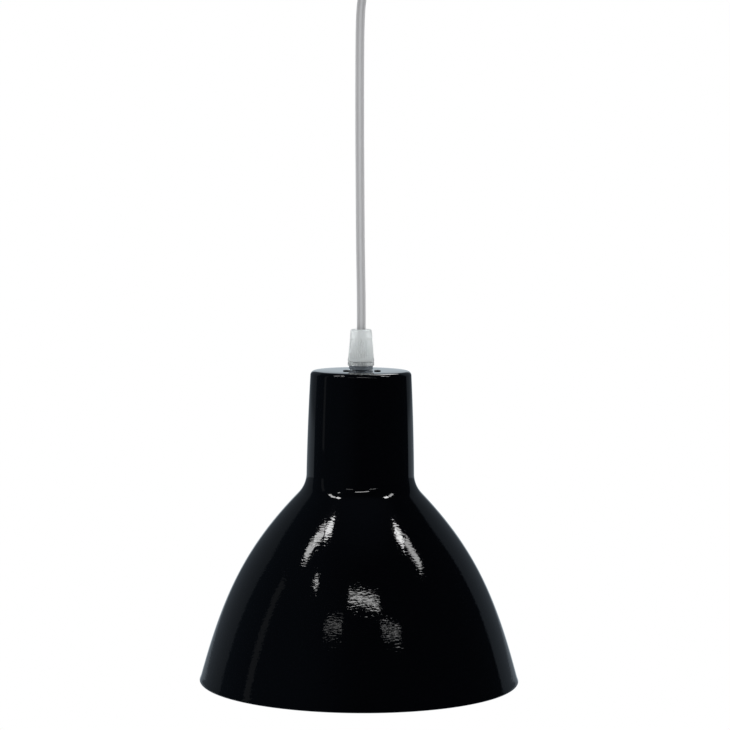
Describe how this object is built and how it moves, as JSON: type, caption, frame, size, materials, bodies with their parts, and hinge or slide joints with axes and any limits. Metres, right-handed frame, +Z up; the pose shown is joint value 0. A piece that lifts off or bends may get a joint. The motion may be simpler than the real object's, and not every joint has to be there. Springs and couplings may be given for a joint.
{
  "type": "pendant ceiling light",
  "caption": "Bell-shaped gloss black metal pendant shade on a flat twin cord, with clear cord grips, a screw lampholder and bulb, and a round ceiling rose.",
  "frame": {"origin": "middle of the ceiling face, on the top face of the mounting bracket", "axes": "+Z up towards the ceiling, along the cord; +X along the mounting bracket; everything hangs below the origin"},
  "size_m": [0.2, 0.2, 0.4856],
  "materials": {
    "black_paint": "gloss",
    "zinc_steel": "satin",
    "screw_plating": "polished",
    "brass": "satin",
    "cap_plating": "satin",
    "clear_plastic": "satin",
    "cord_sheath": "satin",
    "holder_plastic": "satin",
    "block_plastic": "matte",
    "holder_ceramic": "matte",
    "bulb_diffuser": "satin",
    "bulb_insulator": "gloss",
    "brown_wire": "satin",
    "blue_wire": "satin"
  },
  "bodies": {
    "ceiling_rose": {"mounting_bracket": "zinc_steel", "canopy": "black_paint", "canopy_screw_left": "screw_plating", "canopy_screw_right": "screw_plating", "terminal_block": "block_plastic", "terminal_screw_1": "zinc_steel", "terminal_screw_2": "zinc_steel", "terminal_screw_3": "zinc_steel", "terminal_screw_4": "zinc_steel", "terminal_insert_live": "brass", "terminal_insert_neutral": "brass", "canopy_lead_live": "brown_wire", "canopy_lead_neutral": "blue_wire", "canopy_grip_base": "clear_plastic", "canopy_grip_collet": "clear_plastic", "canopy_grip_nut": "zinc_steel", "canopy_cord_tail": "cord_sheath"},
    "canopy_grip": {"canopy_grip_cap": "clear_plastic"},
    "cord": {"cord": "cord_sheath"},
    "shade": {"shade": "black_paint", "shade_grip_base": "clear_plastic", "shade_grip_collet": "clear_plastic", "shade_grip_cap": "clear_plastic", "shade_grip_nut": "zinc_steel", "shade_cord_tail": "cord_sheath", "lock_washer": "zinc_steel", "lampholder_cap": "holder_plastic", "lampholder_body": "holder_plastic", "lampholder_insert": "holder_ceramic", "lampholder_shell": "cap_plating", "centre_contact": "brass", "holder_terminal_live": "brass", "holder_terminal_neutral": "brass", "holder_lead_live": "brown_wire", "holder_lead_neutral": "blue_wire"},
    "bulb_contact": {"bulb_contact": "cap_plating"},
    "bulb": {"bulb_insulator": "bulb_insulator", "bulb_cap": "cap_plating", "bulb_glass": "bulb_diffuser"}
  },
  "joints": [
    {"name": "pendant_turn", "type": "hinge", "parent": "ceiling_rose", "child": "canopy_grip", "pos_m": [0, 0, -0.0517], "axis": [0, 0, 1], "range_deg": [-180, 180]},
    {"name": "pendant_swing", "type": "hinge", "parent": "canopy_grip", "child": "cord", "pos_m": [0, 0, -0.0517], "axis": [0, 1, 0], "range_deg": [-40, 40]},
    {"name": "shade_tilt", "type": "hinge", "parent": "cord", "child": "shade", "pos_m": [0, 0, -0.2646], "axis": [1, 0, 0], "range_deg": [-20, 20]},
    {"name": "bulb_travel", "type": "slide", "parent": "shade", "child": "bulb_contact", "axis": [0, 0, -1], "range_m": [0, 0.0182]},
    {"name": "bulb_turn", "type": "hinge", "parent": "bulb_contact", "child": "bulb", "pos_m": [0, 0, -0.35], "axis": [0, 0, -1], "range_deg": [0, 1800]}
  ],
  "couplings": [
    {"joint": "bulb_travel", "follows": "bulb_turn", "m_per_rad": 0.00057757}
  ]
}
